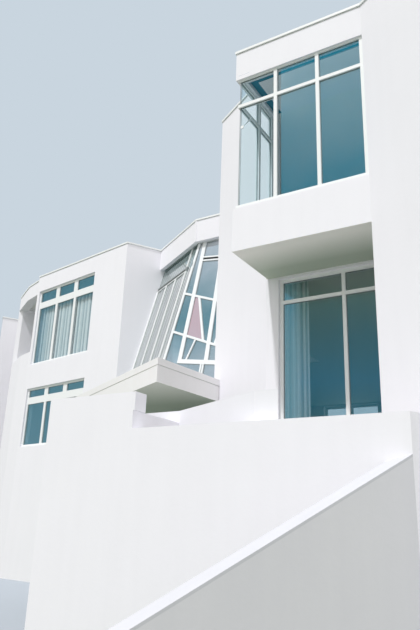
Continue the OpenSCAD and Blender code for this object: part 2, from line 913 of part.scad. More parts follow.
module right_lean_glass() {
    color(glass)
        right_plane(pane_t)
            difference() {
                right_sheet_2d();
                right_bars_2d();
                polygon([for (s = rose_spots) spot(s)]);
                polygon([for (s = seal_spots) spot(s)]);
            }
}

module rose_glass() {
    color(rose) right_plane(pane_t) right_area_2d(rose_spots);
}

module rail_seals() {
    color(rubber) {
        right_plane(bar_d / 2) right_area_2d(seal_spots);
        between_slabs()
            leaning(hip_l, -fan, lean, seal_in, bar_d / 2)
                difference() {
                    left_seal_2d();
                    left_bars_2d();
                }
    }
}

// Metal coping along a path, on a wall of the thickness t. It stands on a
// narrower foot, which leaves a shadow gap under its edge.
module coping(pts, t, z) {
    strip(pts, coping_gap, t, z, z + coping_gap);
    strip(pts, -coping_out, t, z + coping_gap, z + coping_h);
}

module tower_copings() {
    color(white) {
        coping([hall_r, west_l, west_r, jamb_r], wall_t, tower_top);
        coping([recess_l, bay_l, bay_r], apron_t, edge_top);
        coping([bay_r, east_r, back_r, back_l], wall_t, edge_top);
    }
}

module wing_copings() {
    color(white) {
        coping([wing_l, wing_c, wing_stub], wall_t, roof_top);
        coping(hall_path, fascia_t, roof_top);
    }
}

module end_coping() {
    color(white)
        difference() {
            coping([back_l, far_l, far_c, notch_l, notch_r, end_2, end_1, wing_l],
                   wall_t, end_top);
            prism([back_r, back_l, in_back_l, in_back_r], 0, edge_top);
            prism([wing_l, wing_c, in_wing_c, in_wing_l], 0, roof_top);
        }
}

// The garden slab, which runs back over the base wall to the leaning glass.

prow_c = west_l + [prow_side, -prow_out];
prow_l_end = prow_c + prow_l * dir_prow;
prow_r_end = meet(prow_c, dir_prow_r, west_l, dir_b);
prow_back = meet(prow_l_end, dir_side, west_l, dir_b);
glass_foot = hip[1] - glass_h * tan(right_lean) + bar_d + 2 * pane_t;

module garden_slab() {
    color(slab_grey)
        prism([prow_c, prow_r_end, west_l, [west_l[0], glass_foot],
               meet([0, glass_foot], [1, 0], base_r, dir_b), base_l + wall_t * dir_side,
               base_l, prow_back, prow_l_end], deck_z - prow_t, deck_z);
}

// The kerb stands on the slab over a groove.
module garden_kerb() {
    edge = [prow_l_end, prow_c, prow_r_end];
    color(slab_grey) {
        strip(edge, groove, kerb_t, deck_z, deck_z + groove);
        strip(edge, 0, kerb_t, deck_z + groove, deck_z + kerb_h);
    }
}

// The terrace.

terrace_r = bay_r + [terrace_over, -terrace_gap];
terrace_l = terrace_r - [terrace_w, 0];
in_terrace_r = meet(terrace_r + [0, garden_t], [1, 0],
                    terrace_r - garden_t * left_of(dir_slope), dir_slope);
in_terrace_l = terrace_l + [garden_t, garden_t];
back_terrace_l = meet(in_terrace_l, [0, 1], west_l, dir_b);
back_terrace_r = meet(in_terrace_r, dir_slope, bay_r, dir_b);

module terrace_deck() {
    color(shade)
        prism([in_terrace_l, in_terrace_r, back_terrace_r, bay_r, recess_r, west_r, west_l,
               back_terrace_l],
              garden_level - terrace_sink - floor_t, garden_level - terrace_sink);
}

module terrace_wall() {
    color(white)
        prism([terrace_l, terrace_r, in_terrace_r, terrace_l + [0, garden_t]], 0, terrace_top);
}

module terrace_side_walls() {
    color(white) {
        prism([terrace_r, meet(terrace_r, dir_slope, bay_r, dir_b), back_terrace_r,
               in_terrace_r], 0, terrace_top);
        prism([terrace_l + [0, garden_t], in_terrace_l, back_terrace_l,
               meet(terrace_l, [0, 1], west_l, dir_b)], 0, terrace_top);
    }
}

// The planter's side wall starts under the raised wall's end, set back a little,
// and ends at the planter's back wall.
planter_x = terrace_l[0] + raised_w - planter_set;
bed_c = [planter_x, terrace_l[1] + bed_d];

module planter_wall() {
    color(white) {
        difference() {
            translate([terrace_l[0], terrace_l[1], terrace_top])
                cube([raised_w, garden_t, raised_h]);
            translate([planter_x, terrace_l[1] - over, terrace_top - over])
                cube([planter_set + over, garden_t + 2 * over, planter_h + over]);
        }
        translate([planter_x - garden_t, terrace_l[1] + garden_t, garden_level - terrace_sink])
            cube([garden_t, bed_d - garden_t, terrace_sink - terrace_drop + planter_h]);
    }
}

// The planter's back wall bends at the side wall and ends at the terrace wall.
module bed_wall() {
    left = bed_c - [bed_l, 0];
    out_r = meet(bed_c, dir_bed, in_terrace_l, [1, 0]);
    in_c = inner(left, bed_c, out_r, bed_t);
    color(white)
        prism([left, bed_c, out_r, meet(in_c, dir_bed, in_terrace_l, [1, 0]), in_c,
               left + [0, bed_t]], garden_level - terrace_sink, terrace_top + bed_h);
}

// Side view of the sloping wall, from the height z0 to z1 over its sloping top.
module slope_side(z0, z1) {
    drop = slope_run * tan(slope_fall);
    difference() {
        translate([terrace_r[0], terrace_r[1], 0])
            rotate([0, 0, 180 + slope_turn])
                rotate([90, 0, 0])
                    linear_extrude(slope_t)
                        polygon([[0, slope_high + z0], [0, slope_high + z1],
                                 [slope_run, slope_high - drop + z1],
                                 [slope_run, slope_high - drop + z0]]);
        translate([0, terrace_r[1], -over]) cube(big);
    }
}

module slope_wall() {
    color(shade)
        difference() {
            slope_side(-slope_high - slope_cap, -slope_cap);
            translate([-big / 2, -big / 2, -big]) cube(big);
        }
}

module slope_coping() {
    color(white) slope_side(-slope_cap, 0);
}

// Curtains, as plain blocks of the space that their folds take.

module recess_curtain() {
    color(cloth)
        translate([in_west_r[0] + curtain_gap, in_west_r[1] + curtain_gap,
                   garden_level + curtain_gap])
            cube([curtain_w, curtain_d, soffit - garden_level - curtain_gap]);
}

module wing_curtains() {
    color(cloth)
        on_face(wing_l, wing_c)
            translate([win_l + curtain_gap, reveal + bar_d, sill + curtain_gap])
                cube([win_r - win_l - 2 * curtain_gap, curtain_d,
                      wing_rail_foot + wing_rail_w / 2 - sill - curtain_gap]);
}

tower_floors();
tower_roof();
wing_floors();
wing_roof();
hall_roof();
west_wall();
recess_wall();
recess_side_wall();
east_wall();
tower_left_wall();
right_wall();
back_wall();
left_wall();
far_front_wall();
far_side_wall();
notch_wall();
notch_side_wall();
loggia_back_wall();
loggia_parapet();
loggia_fascia();
wing_front_wall();
wing_side_wall();
bay_base();
bay_roof();
bay_frame();
bay_glass();
recess_frame();
recess_glass();
wing_frames();
wing_glass();
plain_frames();
plain_glass();
hall_base_wall();
hall_fascia();
left_lean_frame();
left_lean_glass();
right_lean_frame();
right_lean_glass();
rose_glass();
rail_seals();
tower_copings();
wing_copings();
end_coping();
garden_slab();
garden_kerb();
terrace_deck();
terrace_wall();
terrace_side_walls();
planter_wall();
slope_wall();
bed_wall();
slope_coping();
recess_curtain();
wing_curtains();
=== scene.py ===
"""Looks of a white faceted house: rendered walls, painted metal copings and
window frames, teal coated glass and hanging curtains."""

import math

import bmesh
import bpy
from mathutils import Matrix, Vector


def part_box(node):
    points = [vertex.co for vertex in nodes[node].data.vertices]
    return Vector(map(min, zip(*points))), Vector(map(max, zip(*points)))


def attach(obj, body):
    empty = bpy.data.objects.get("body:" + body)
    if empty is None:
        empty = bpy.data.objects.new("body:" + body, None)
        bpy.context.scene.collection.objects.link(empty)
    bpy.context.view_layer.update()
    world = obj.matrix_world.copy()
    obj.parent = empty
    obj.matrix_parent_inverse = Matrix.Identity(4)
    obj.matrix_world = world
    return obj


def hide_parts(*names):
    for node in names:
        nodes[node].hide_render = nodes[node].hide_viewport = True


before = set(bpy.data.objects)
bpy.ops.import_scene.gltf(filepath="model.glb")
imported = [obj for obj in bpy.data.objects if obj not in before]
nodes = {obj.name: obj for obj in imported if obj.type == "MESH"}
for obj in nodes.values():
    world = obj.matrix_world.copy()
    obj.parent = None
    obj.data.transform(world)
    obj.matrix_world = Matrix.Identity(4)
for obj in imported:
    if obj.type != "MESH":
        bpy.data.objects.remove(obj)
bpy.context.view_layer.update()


# ---------------------------------------------------------------- camera
# The house is seen from low in front of its right corner. The camera is tipped
# up and turned a little, so uprights lean to one side.
eye = Vector((11.0989, -11.9998, 1.6))
heading = math.radians(31.87)
pitch = math.radians(18.789)
roll = math.radians(2.0795)

view = bpy.data.cameras.new("view")
view.sensor_fit = "VERTICAL"
view.sensor_height = 36
view.lens = 36.04
view.clip_end = 300
camera = bpy.data.objects.new("camera", view)
camera.matrix_world = (Matrix.Translation(eye) @ Matrix.Rotation(heading, 4, "Z")
                       @ Matrix.Rotation(math.pi / 2 + pitch, 4, "X")
                       @ Matrix.Rotation(roll, 4, "Z"))
bpy.context.collection.objects.link(camera)
bpy.context.scene.camera = camera


# ---------------------------------------------------------------- rendered walls
# Masonry walls with a floated coat of render, painted matt white. The float
# leaves a fine grain, and the paint is a little greyer where rain has run.

def linear(code):
    """The linear colour of an sRGB hex code."""
    parts = [int(code[i:i + 2], 16) / 255 for i in (1, 3, 5)]
    return [p / 12.92 if p <= 0.04045 else ((p + 0.055) / 1.055) ** 2.4
            for p in parts] + [1]


def add(material, kind, inputs=None, **settings):
    """Adds a node. Its inputs are values, or the sockets that they link to."""
    node = material.node_tree.nodes.new(kind)
    for name, value in settings.items():
        setattr(node, name, value)
    for name, value in (inputs or {}).items():
        if isinstance(value, bpy.types.NodeSocket):
            material.node_tree.links.new(value, node.inputs[name])
        else:
            node.inputs[name].default_value = value
    return node


def empty_material(name):
    """A material with nothing in it yet."""
    material = bpy.data.materials.new(name)
    material.use_nodes = True
    material.node_tree.nodes.clear()
    return material


def finish_node(name, material):
    """Gives a CAD node its finish."""
    nodes[name].data.materials.clear()
    nodes[name].data.materials.append(material)


def coat_over(material, where, colour, blend="MIX"):
    """Lays another colour over a finish, as far as the socket where says."""
    surface = material.node_tree.nodes["Principled BSDF"]
    bare = surface.inputs["Base Color"].links[0].from_socket
    coat = add(material, "ShaderNodeMix", {"Factor": where, "A": bare, "B": colour},
               data_type="RGBA", blend_type=blend)
    material.node_tree.links.new(coat.outputs["Result"], surface.inputs["Base Color"])


def masonry(name, pale, stained, grain_mm, roughness, under=None, above=None):
    """A floated or cast surface: grain, uneven patches and faint rain streaks.
    The real grain is 1 mm, which is too fine to show, so it is drawn coarser.
    under is for the faces that look down, such as a ceiling or a soffit: their colours
    in front and behind, and where these lie along Y. On a soffit the darker colour
    behind is painted shade. above is the colour of the faces that look up, where it
    differs."""
    material = empty_material(name)
    place = add(material, "ShaderNodeTexCoord").outputs["Object"]
    upright = add(material, "ShaderNodeMapping",
                  {"Vector": place, "Scale": (2.2, 2.2, 0.16)})
    streaks = add(material, "ShaderNodeTexNoise",
                  {"Vector": upright.outputs["Vector"], "Scale": 2.5, "Detail": 5.0})
    patches = add(material, "ShaderNodeTexNoise",
                  {"Vector": place, "Scale": 0.9, "Detail": 6.0, "Roughness": 0.62})
    grain = add(material, "ShaderNodeTexNoise",
                {"Vector": place, "Scale": 1000 / (grain_mm * 2.5), "Detail": 3.0})
    both = add(material, "ShaderNodeMath",
               {0: streaks.outputs["Fac"], 1: patches.outputs["Fac"]},
               operation="MULTIPLY")
    weathered = add(material, "ShaderNodeMapRange",
                    {"Value": both.outputs["Value"], "From Min": 0.12, "From Max": 0.5})
    colour = add(material, "ShaderNodeMix",
                 {"Factor": weathered.outputs["Result"],
                  "A": linear(pale), "B": linear(stained)}, data_type="RGBA")
    facing = add(material, "ShaderNodeNewGeometry").outputs["Normal"]
    upwards = add(material, "ShaderNodeSeparateXYZ", {"Vector": facing}).outputs["Z"]
    if above:
        top = add(material, "ShaderNodeMath", {0: upwards, 1: 0.5},
                  operation="GREATER_THAN")
        colour = add(material, "ShaderNodeMix",
                     {"Factor": top.outputs["Value"], "A": colour.outputs["Result"],
                      "B": linear(above)}, data_type="RGBA")
    if under:
        depth = add(material, "ShaderNodeSeparateXYZ", {"Vector": place}).outputs["Y"]
        shade = add(material, "ShaderNodeMapRange",
                    {"Value": depth, "From Min": under[2], "From Max": under[3]})
        shaded = add(material, "ShaderNodeMix",
                     {"Factor": shade.outputs["Result"], "A": linear(under[0]),
                      "B": linear(under[1])}, data_type="RGBA")
        ceiling = add(material, "ShaderNodeMath", {0: upwards, 1: -0.5},
                      operation="LESS_THAN")
        colour = add(material, "ShaderNodeMix",
                     {"Factor": ceiling.outputs["Value"],
                      "A": colour.outputs["Result"], "B": shaded.outputs["Result"]},
                     data_type="RGBA")
    relief = add(material, "ShaderNodeBump",
                 {"Height": grain.outputs["Fac"], "Strength": 0.25,
                  "Distance": 0.004})
    surface = add(material, "ShaderNodeBsdfPrincipled",
                  {"Base Color": colour.outputs["Result"], "Roughness": roughness,
                   "Specular IOR Level": 0.25, "Normal": relief.outputs["Normal"]})
    add(material, "ShaderNodeOutputMaterial", {"Surface": surface.outputs["BSDF"]})
    return material


white_paint = ("#f4f3f9", "#f1f0f6")
wall_grain = 22
wall_matt = 0.85
white_render = masonry("painted_white_render", *white_paint, wall_grain, wall_matt)
white_walls = ["west_wall", "recess_wall", "recess_side_wall", "east_wall",
               "tower_left_wall", "right_wall", "back_wall", "left_wall",
               "far_front_wall", "far_side_wall", "notch_wall", "notch_side_wall",
               "loggia_back_wall", "loggia_parapet", "loggia_fascia",
               "wing_front_wall", "wing_side_wall", "hall_base_wall", "hall_fascia",
               "terrace_wall", "terrace_side_walls", "planter_wall"]
for name in white_walls:
    finish_node(name, white_render)

# The bay's underside is painted shade: near white in front, turning a darker greenish
# grey towards the back.
soffit_front = -3.8
soffit_back = -3.05
finish_node("bay_base", masonry("soffit_render_painted_shade", *white_paint, wall_grain,
                                wall_matt, ("#fffdf8", "#bfc9ba", soffit_front,
                                            soffit_back)))

# A dark teal band is painted round the bay's ceiling, along its front and left glass: a
# painted reflection, for the dark teal that the glass mirrors at its head. Each place is
# its middle and half its width.
reflection_band_in_front = (-3.815, 0.135)
reflection_band_at_left = (6.65, 0.12)
ceiling_level = (9.21, 0.001)
bay_ceiling_painted_reflection = masonry("bay_ceiling_with_painted_reflection", *white_paint, wall_grain, wall_matt)
place = add(bay_ceiling_painted_reflection, "ShaderNodeTexCoord").outputs["Object"]
where = add(bay_ceiling_painted_reflection, "ShaderNodeSeparateXYZ", {"Vector": place}).outputs
in_front = add(bay_ceiling_painted_reflection, "ShaderNodeMath",
               {0: where["Y"], 1: reflection_band_in_front[0], 2: reflection_band_in_front[1]},
               operation="COMPARE")
at_left = add(bay_ceiling_painted_reflection, "ShaderNodeMath",
              {0: where["X"], 1: reflection_band_at_left[0], 2: reflection_band_at_left[1]},
              operation="COMPARE")
along = add(bay_ceiling_painted_reflection, "ShaderNodeMath",
            {0: in_front.outputs["Value"], 1: at_left.outputs["Value"]},
            operation="MAXIMUM")
level = add(bay_ceiling_painted_reflection, "ShaderNodeMath",
            {0: where["Z"], 1: ceiling_level[0], 2: ceiling_level[1]},
            operation="COMPARE")
painted_reflection_band = add(bay_ceiling_painted_reflection, "ShaderNodeMath",
           {0: along.outputs["Value"], 1: level.outputs["Value"]},
           operation="MULTIPLY")
coat_over(bay_ceiling_painted_reflection, painted_reflection_band.outputs["Value"], linear("#2f7f98"))
finish_node("bay_roof", bay_ceiling_painted_reflection)

# The bed wall is a duller white. The coping of the sloping wall is painted duller, a
# painted shade on its sunlit top, and the sloping wall is painted grey, a painted shade
# on white paint.
finish_node("bed_wall", masonry("dull_white_render", "#ebebf0", "#e8e8ed",
                                wall_grain, wall_matt))
finish_node("slope_wall", masonry("grey_render_painted_shade", "#dfdfe4", "#dadae0", 26, 0.88))
finish_node("slope_coping", masonry("coping_render_painted_shade", "#cfd0d6", "#cbccd2",
                                    wall_grain, wall_matt))


# ---------------------------------------------------------------- concrete
# The floors are a pale screed and the terrace is floated concrete. The garden slab and
# its kerb are cast concrete with a thin paint, which has worn off on top. Their
# underside is painted shade, greenish grey and darker towards the back.
house_front = 0
house_back = 9
screed = masonry("pale_screed", "#dddad4", "#d2cec7", 30, 0.6,
                 ("#f1f1ef", "#e9e9e7", house_front, house_back))
for name in ("tower_floors", "wing_floors"):
    finish_node(name, screed)
finish_node("terrace_deck", masonry("floated_concrete", "#b7b5b0", "#a6a49e", 30, 0.7))

slab_front = -3.6
slab_shaded = -2.0
slab_concrete_painted_shade = masonry("cast_concrete_painted_shade", "#f4f3f4", "#efedee", 26, 0.8,
                        ("#dce1da", "#a6b2a5", slab_front, slab_shaded), "#d2d1cc")
for name in ("garden_slab", "garden_kerb"):
    finish_node(name, slab_concrete_painted_shade)


# ---------------------------------------------------------------- roof felt
# The flat roofs have a pale mineral felt, in sheets 1 m wide whose laps show as
# fine lines. The ceilings under them are painted.
felt_width = 1.0
felt_length = 8.0
felt_lap = 0.012
felt = masonry("mineral_felt", "#a9abad", "#97999b", 14, 0.95,
               ("#f4f4f2", "#ececea", house_front, house_back))
place = add(felt, "ShaderNodeTexCoord").outputs["Object"]
sheets = add(felt, "ShaderNodeTexBrick",
             {"Vector": place, "Color1": linear("#ffffff"), "Color2": linear("#f0f0f0"),
              "Mortar": linear("#b4b6b8"), "Scale": 1.0, "Mortar Size": felt_lap,
              "Brick Width": felt_length, "Row Height": felt_width})
facing = add(felt, "ShaderNodeNewGeometry").outputs["Normal"]
upwards = add(felt, "ShaderNodeSeparateXYZ", {"Vector": facing}).outputs["Z"]
coat_over(felt, upwards, sheets.outputs["Color"], "MULTIPLY")
for name in ("tower_roof", "wing_roof", "hall_roof"):
    finish_node(name, felt)


# ---------------------------------------------------------------- painted metal
# Window frames and copings are folded or extruded aluminium with a white
# powder coating, which has a faint orange peel and a soft sheen.

def powder_coat(name, pale, dull):
    """A coating that has turned a little dull and less shiny in patches."""
    material = empty_material(name)
    place = add(material, "ShaderNodeTexCoord").outputs["Object"]
    chalk = add(material, "ShaderNodeTexNoise",
                {"Vector": place, "Scale": 2.0, "Detail": 4.0})
    peel = add(material, "ShaderNodeTexNoise", {"Vector": place, "Scale": 160.0})
    colour = add(material, "ShaderNodeMix",
                 {"Factor": chalk.outputs["Fac"], "A": linear(pale),
                  "B": linear(dull)}, data_type="RGBA")
    relief = add(material, "ShaderNodeBump",
                 {"Height": peel.outputs["Fac"], "Strength": 0.1, "Distance": 0.001})
    sheen = add(material, "ShaderNodeMapRange",
                {"Value": chalk.outputs["Fac"], "To Min": 0.42, "To Max": 0.5})
    surface = add(material, "ShaderNodeBsdfPrincipled",
                  {"Base Color": colour.outputs["Result"],
                   "Roughness": sheen.outputs["Result"],
                   "Normal": relief.outputs["Normal"]})
    add(material, "ShaderNodeOutputMaterial", {"Surface": surface.outputs["BSDF"]})
    return material


coat_white = ("#f6f7f8", "#f2f4f5")
white_coat = powder_coat("white_powder_coat", *coat_white)
for name in ("bay_frame", "recess_frame", "wing_frames", "plain_frames",
             "tower_copings", "wing_copings", "end_coping"):
    finish_node(name, white_coat)
# The leaning bars right of the hip are painted a little darker: painted shade.
finish_node("right_lean_frame", powder_coat("white_powder_coat_painted_shade", "#eef1f3",
                                            "#eaedef"))

# The double rail of the left leaning frame is painted grey: painted shade along the
# rail.
rail_level = 8.477
half_rail = 0.068
rail_painted_shade_coat = powder_coat("white_powder_coat_painted_shade_rail", *coat_white)
place = add(rail_painted_shade_coat, "ShaderNodeTexCoord").outputs["Object"]
level = add(rail_painted_shade_coat, "ShaderNodeSeparateXYZ", {"Vector": place}).outputs["Z"]
rail = add(rail_painted_shade_coat, "ShaderNodeMath", {0: level, 1: rail_level, 2: half_rail},
           operation="COMPARE")
coat_over(rail_painted_shade_coat, rail.outputs["Value"], linear("#8f9696"))
finish_node("left_lean_frame", rail_painted_shade_coat)


# ---------------------------------------------------------------- glass
# Float glass with a teal solar coating, which mirrors what is in front of it and
# dims what is behind it. Rollers leave it a little wavy.

def coated_glass(name, deep, pale, fade, share, zone=None, head=99, weave=None):
    """The mirrored colour is a painted reflection of the sky and the shaded soffits,
    which are not in the scene. It is deep at the height fade[0] and turns pale within
    fade[1] above and below it; a soft noise moves that height by fade[2]. Above the
    height head it is deep again. share is how much of what is behind the glass shows
    through it. zone gives another share and colour to a part of it, which starts and is
    whole at two places along each named axis. weave is the number of threads per metre
    in a blind behind the glass."""
    material = empty_material(name)
    place = add(material, "ShaderNodeTexCoord").outputs["Object"]
    where = add(material, "ShaderNodeSeparateXYZ", {"Vector": place}).outputs
    drift = add(material, "ShaderNodeTexNoise",
                {"Vector": place, "Scale": 0.8, "Detail": 4.0, "Roughness": 0.6})
    height = add(material, "ShaderNodeMath",
                 {0: drift.outputs["Fac"], 1: fade[2], 2: where["Z"]},
                 operation="MULTIPLY_ADD")
    above = add(material, "ShaderNodeMath",
                {0: height.outputs["Value"], 1: fade[0] + fade[2] / 2},
                operation="SUBTRACT")
    away = add(material, "ShaderNodeMath", {0: above.outputs["Value"]},
               operation="ABSOLUTE")
    cover = add(material, "ShaderNodeMapRange",
                {"Value": away.outputs["Value"], "From Max": fade[1]})
    below = add(material, "ShaderNodeMath", {0: where["Z"], 1: head},
                operation="LESS_THAN")
    cover = add(material, "ShaderNodeMath",
                {0: cover.outputs["Result"], 1: below.outputs["Value"]},
                operation="MULTIPLY")
    colour = add(material, "ShaderNodeMix",
                 {"Factor": cover.outputs["Value"], "A": linear(deep),
                  "B": linear(pale)}, data_type="RGBA")
    if zone:
        ramps, zone_share, zone_colour = zone
        inside = 1.0
        for axis, start, whole in ramps:
            ramp = add(material, "ShaderNodeMapRange",
                       {"Value": where[axis], "From Min": start, "From Max": whole})
            inside = add(material, "ShaderNodeMath",
                         {0: inside, 1: ramp.outputs["Result"]},
                         operation="MULTIPLY").outputs["Value"]
        colour = add(material, "ShaderNodeMix",
                     {"Factor": inside, "A": colour.outputs["Result"],
                      "B": linear(zone_colour)}, data_type="RGBA")
        share = add(material, "ShaderNodeMapRange",
                    {"Value": inside, "To Min": share,
                     "To Max": zone_share}).outputs["Result"]
    if weave:
        slant = math.radians(42)
        scale_of_a_thread = 0.314
        slanted = add(material, "ShaderNodeMapping",
                      {"Vector": place, "Rotation": (0, slant, 0)})
        threads = add(material, "ShaderNodeTexWave",
                      {"Vector": slanted.outputs["Vector"],
                       "Scale": weave * scale_of_a_thread,
                       "Distortion": 1.5, "Detail Scale": 0.4})
        woven = add(material, "ShaderNodeMapRange",
                    {"Value": threads.outputs["Fac"], "To Min": 0.72, "To Max": 1.0})
        colour = add(material, "ShaderNodeMix",
                     {"Factor": 1.0, "A": colour.outputs["Result"],
                      "B": woven.outputs["Result"]}, data_type="RGBA",
                     blend_type="MULTIPLY")
    waves = add(material, "ShaderNodeTexNoise", {"Vector": place, "Scale": 2.5})
    relief = add(material, "ShaderNodeBump",
                 {"Height": waves.outputs["Fac"], "Strength": 0.05, "Distance": 0.02})
    mirror = add(material, "ShaderNodeBsdfPrincipled",
                 {"Base Color": colour.outputs["Result"], "Metallic": 1.0,
                  "Roughness": 0.08, "Normal": relief.outputs["Normal"]})
    through = add(material, "ShaderNodeBsdfTransparent",
                  {"Color": linear("#f8fcfd")})
    both = add(material, "ShaderNodeMixShader",
               {0: share, 1: mirror.outputs["BSDF"], 2: through.outputs["BSDF"]})
    add(material, "ShaderNodeOutputMaterial", {"Surface": both.outputs["Shader"]})
    return material


# The coating is thinner on the bay's corner panes, and where curtains show.
# Above its head height the bay glass turns deep teal again: a painted reflection of the
# shaded soffit over it.
finish_node("bay_glass", coated_glass("teal_bay_glass", "#40cbe6", "#c8f4fc",
                                      (6.7, 2.6, 3), 0.78,
                                      ([("X", 7.335, 7.325)], 0.975, "#8fd8ea"),
                                      head=9.0))
# The wing's glass is clear where its curtains show, but turns back to teal over the top
# 0.26 m of its lower panes: painted shade, for the shadow across the curtains' heads.
finish_node("wing_glass", coated_glass("teal_wing_glass", "#73b9c8", "#9fd6e2",
                                       (9, 8, 1), 0.66,
                                       ([("Z", 6.1, 6.2), ("Z", 8.66, 8.4),
                                         ("X", -4.9, -4.1)],
                                        0.99, "#8fd0e0")))
# The recess window's mirrored colour turns olive towards its head, a painted reflection
# of the shaded soffit.
finish_node("recess_glass", coated_glass("teal_recess_glass", "#26b4d6", "#5c8e66",
                                         (3.9, 1.8, 0.4), 0.84,
                                         ([("X", 7.1, 6.9)], 0.84, "#86e4f6")))
finish_node("plain_glass", coated_glass("teal_glass", "#6fc0dc", "#a6d4e2",
                                        (2, 10, 3), 0.84))

# The leaning panes right of the hip have a painted reflection, pale at their heads and
# feet.
finish_node("right_lean_glass", coated_glass("pale_teal_glass", "#94c1ca", "#fafdff",
                                             (6.8, 2, 2), 0.35))

# One pane is a pale rose.
finish_node("rose_glass", coated_glass("rose_glass", "#ffdbdd", "#ffe6e8",
                                       (6.8, 2, 2), 0.05))

# The panes left of the hip have mesh blinds close behind them, woven on the
# slant. The real threads are 1 mm apart, which is too fine to show, so they are
# drawn coarser. The fascia shades their heads.
finish_node("left_lean_glass", coated_glass("mesh_blind_glass", "#c9dcd7", "#eff4f2",
                                            (9.2, 0.9, 0.6), 0.1, weave=14))


# ---------------------------------------------------------------- rubber seals
# Grey rubber gaskets hold each pane in its frame. They are pushed in round the
# edge from both sides, and stand 3 mm proud of the glass. The double rails of
# the leaning glass have a black seal between their bars.

def rubber(name, dark, bloomed):
    """A matt rubber, with a paler bloom in small patches."""
    material = empty_material(name)
    place = add(material, "ShaderNodeTexCoord").outputs["Object"]
    bloom = add(material, "ShaderNodeTexNoise",
                {"Vector": place, "Scale": 12.0, "Detail": 3.0})
    colour = add(material, "ShaderNodeMix",
                 {"Factor": bloom.outputs["Fac"], "A": linear(dark),
                  "B": linear(bloomed)}, data_type="RGBA")
    surface = add(material, "ShaderNodeBsdfPrincipled",
                  {"Base Color": colour.outputs["Result"], "Roughness": 0.7})
    add(material, "ShaderNodeOutputMaterial", {"Surface": surface.outputs["BSDF"]})
    return material


finish_node("rail_seals", rubber("black_rubber", "#0c0d0f", "#1c1e20"))
grey_rubber = rubber("grey_rubber", "#7f868a", "#91989b")


def new_piece(name, mesh):
    """An object made from a bmesh, which is then done with."""
    data = bpy.data.meshes.new(name)
    mesh.to_mesh(data)
    mesh.free()
    piece = bpy.data.objects.new(name, data)
    bpy.context.collection.objects.link(piece)
    return piece


gasket_width = 0.009
gasket_proud = 0.003
smallest_pane = 0.02
narrowest_pane = 0.02

for name in ("bay_glass", "recess_glass", "wing_glass", "plain_glass",
             "left_lean_glass", "right_lean_glass", "rose_glass"):
    panes = bmesh.new()
    panes.from_mesh(nodes[name].data)
    bmesh.ops.remove_doubles(panes, verts=panes.verts, dist=1e-5)
    bmesh.ops.dissolve_limit(panes, angle_limit=0.01, verts=panes.verts,
                             edges=panes.edges)
    sides = [f for f in panes.faces if f.calc_area() > smallest_pane
             and f.calc_area() > narrowest_pane * f.calc_perimeter()]
    rims = bmesh.ops.inset_individual(panes, faces=sides, thickness=gasket_width,
                                      use_even_offset=True)["faces"]
    bmesh.ops.delete(panes, geom=[f for f in panes.faces if f not in set(rims)],
                     context="FACES")
    walls = bmesh.ops.extrude_face_region(panes, geom=panes.faces[:])["geom"]
    raised = [v for v in walls if isinstance(v, bmesh.types.BMVert)]
    for vert in raised:
        vert.co += vert.normal * gasket_proud
    gaskets = new_piece(name + "_gaskets", panes)
    gaskets.data.materials.append(grey_rubber)
    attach(gaskets, "root")


# ---------------------------------------------------------------- corner stay
# A thin white metal rod braces the bay's frameless glass corner from the rail of
# its side window. A round plate clamps the glass, and a shoe is screwed to the
# rail.
stay_foot = Vector((6.6, -3.935, 8.17))
stay_head = Vector((6.6, -3.632, 8.537))
rod = stay_head - stay_foot
rod_radius = 0.009
plate_radius = 0.03
plate_thickness = 0.014
shoe_radius = 0.022
shoe_height = 0.05
rounding = 0.002
stay = bmesh.new()
for radius, length, place, along in (
        (rod_radius, rod.length, (stay_foot + stay_head) / 2, rod.normalized()),
        (plate_radius, plate_thickness, stay_foot, Vector((0, 1, 0))),
        (shoe_radius, shoe_height, stay_head, Vector((0, 0, 1)))):
    turn = along.to_track_quat("Z", "Y").to_matrix().to_4x4()
    bmesh.ops.create_cone(stay, cap_ends=True, segments=20, radius1=radius,
                          radius2=radius, depth=length,
                          matrix=Matrix.Translation(place) @ turn)
rims = [e for e in stay.edges if e.calc_face_angle(0) > 1]
bmesh.ops.bevel(stay, geom=rims, offset=rounding, segments=2, profile=0.5,
                affect="EDGES", material=-1)
corner_stay = new_piece("corner_stay", stay)
corner_stay.data.materials.append(white_coat)
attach(corner_stay, "root")


# ---------------------------------------------------------------- curtains
# Sheer white voile, gathered on a track. Each is a cloth that was cut wider
# than its window, pleated at the top and left to hang.

